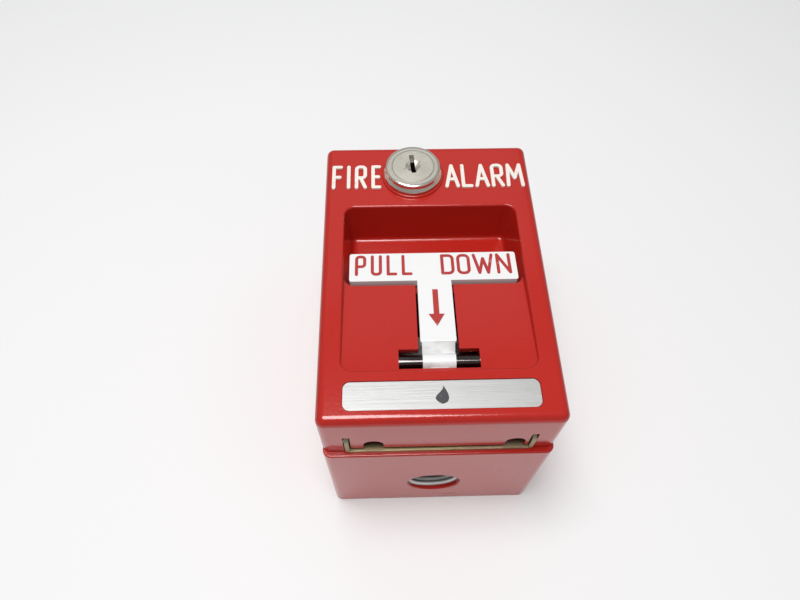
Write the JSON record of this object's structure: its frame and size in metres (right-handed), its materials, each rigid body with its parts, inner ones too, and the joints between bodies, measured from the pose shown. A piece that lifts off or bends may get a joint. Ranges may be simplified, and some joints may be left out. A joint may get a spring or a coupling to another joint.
{
  "type": "manual call point",
  "caption": "Surface-mounted manual fire alarm call point: a red cast box, a hinged cover with a lock, and a T-shaped pull handle that works a toggle switch.",
  "frame": {"origin": "centre of the back face of the surface box, where it meets the wall", "axes": "+X to the right and +Y up as it hangs on a wall, seen from the front; +Z out of the wall, through the front cover"},
  "size_m": [0.0826, 0.125, 0.0924],
  "materials": {
    "box_paint": "gloss red enamel on a cast box",
    "cover_paint": "gloss red enamel, slightly textured",
    "cover_letters": "cream paint on raised letters",
    "nameplate": "brushed along its length",
    "nameplate_ink": "black ink",
    "lock_nickel": "polished nickel plate",
    "lock_plug": "satin nickel plate, turned face",
    "steel_fastener": "zinc plate",
    "cam_steel": "pressed steel",
    "handle_paint": "white enamel on a casting",
    "handle_ink": "red print",
    "shaft_steel": "dark polished steel",
    "bracket_steel": "zinc-plated sheet",
    "switch_case": "moulded switch case",
    "brass_parts": "bright brass",
    "bat_nickel": "polished",
    "terminal_case": "black moulded",
    "plate_zinc": "yellow zinc chromate",
    "earth_green": "green chromate"
  },
  "bodies": {
    "root": {"back_box": "box_paint", "mounting_plate": "plate_zinc", "hinge_pins": "steel_fastener", "latch_strike": "plate_zinc", "strike_rivet": "steel_fastener", "plate_screws": "steel_fastener", "earth_screw": "earth_green"},
    "cover": {"front_cover": "cover_paint", "cover_lettering": "cover_letters", "nameplate": "nameplate", "nameplate_mark": "nameplate_ink", "lock_body": "lock_nickel", "lock_washer": "steel_fastener", "lock_nut": "steel_fastener", "pivot_shaft": "shaft_steel", "shaft_saddles": "bracket_steel", "saddle_screws": "steel_fastener", "switch_bracket": "bracket_steel", "bracket_screws": "steel_fastener", "switch_body": "switch_case", "switch_pins": "brass_parts", "switch_bushing": "steel_fastener", "switch_nut": "steel_fastener", "terminal_block": "terminal_case", "terminal_screws": "brass_parts"},
    "lock": {"lock_plug": "lock_plug", "lock_cam": "cam_steel", "lock_cam_screw": "steel_fastener"},
    "handle": {"pull_handle": "handle_paint", "handle_lettering": "handle_ink", "handle_arrow": "handle_ink"},
    "toggle": {"toggle_bat": "bat_nickel"}
  },
  "joints": [
    {"name": "cover_swing", "type": "hinge", "parent": "root", "child": "cover", "pos_m": [0, -0.05783, 0.066], "axis": [1, 0, 0], "range_deg": [0, 100]},
    {"name": "lock_turn", "type": "hinge", "parent": "cover", "child": "lock", "pos_m": [-0.0061, 0.04442, 0.08], "axis": [0, 0, -1], "range_deg": [0, 90]},
    {"name": "handle_pull", "type": "hinge", "parent": "cover", "child": "handle", "pos_m": [0, -0.03732, 0.0833], "axis": [1, 0, 0], "range_deg": [0, 60]},
    {"name": "toggle_throw", "type": "hinge", "parent": "cover", "child": "toggle", "pos_m": [0, -0.03732, 0.0665], "axis": [1, 0, 0], "range_deg": [-24, 0]}
  ],
  "couplings": [
    {"joint": "toggle_throw", "follows": "handle_pull", "ratio": -0.4}
  ]
}
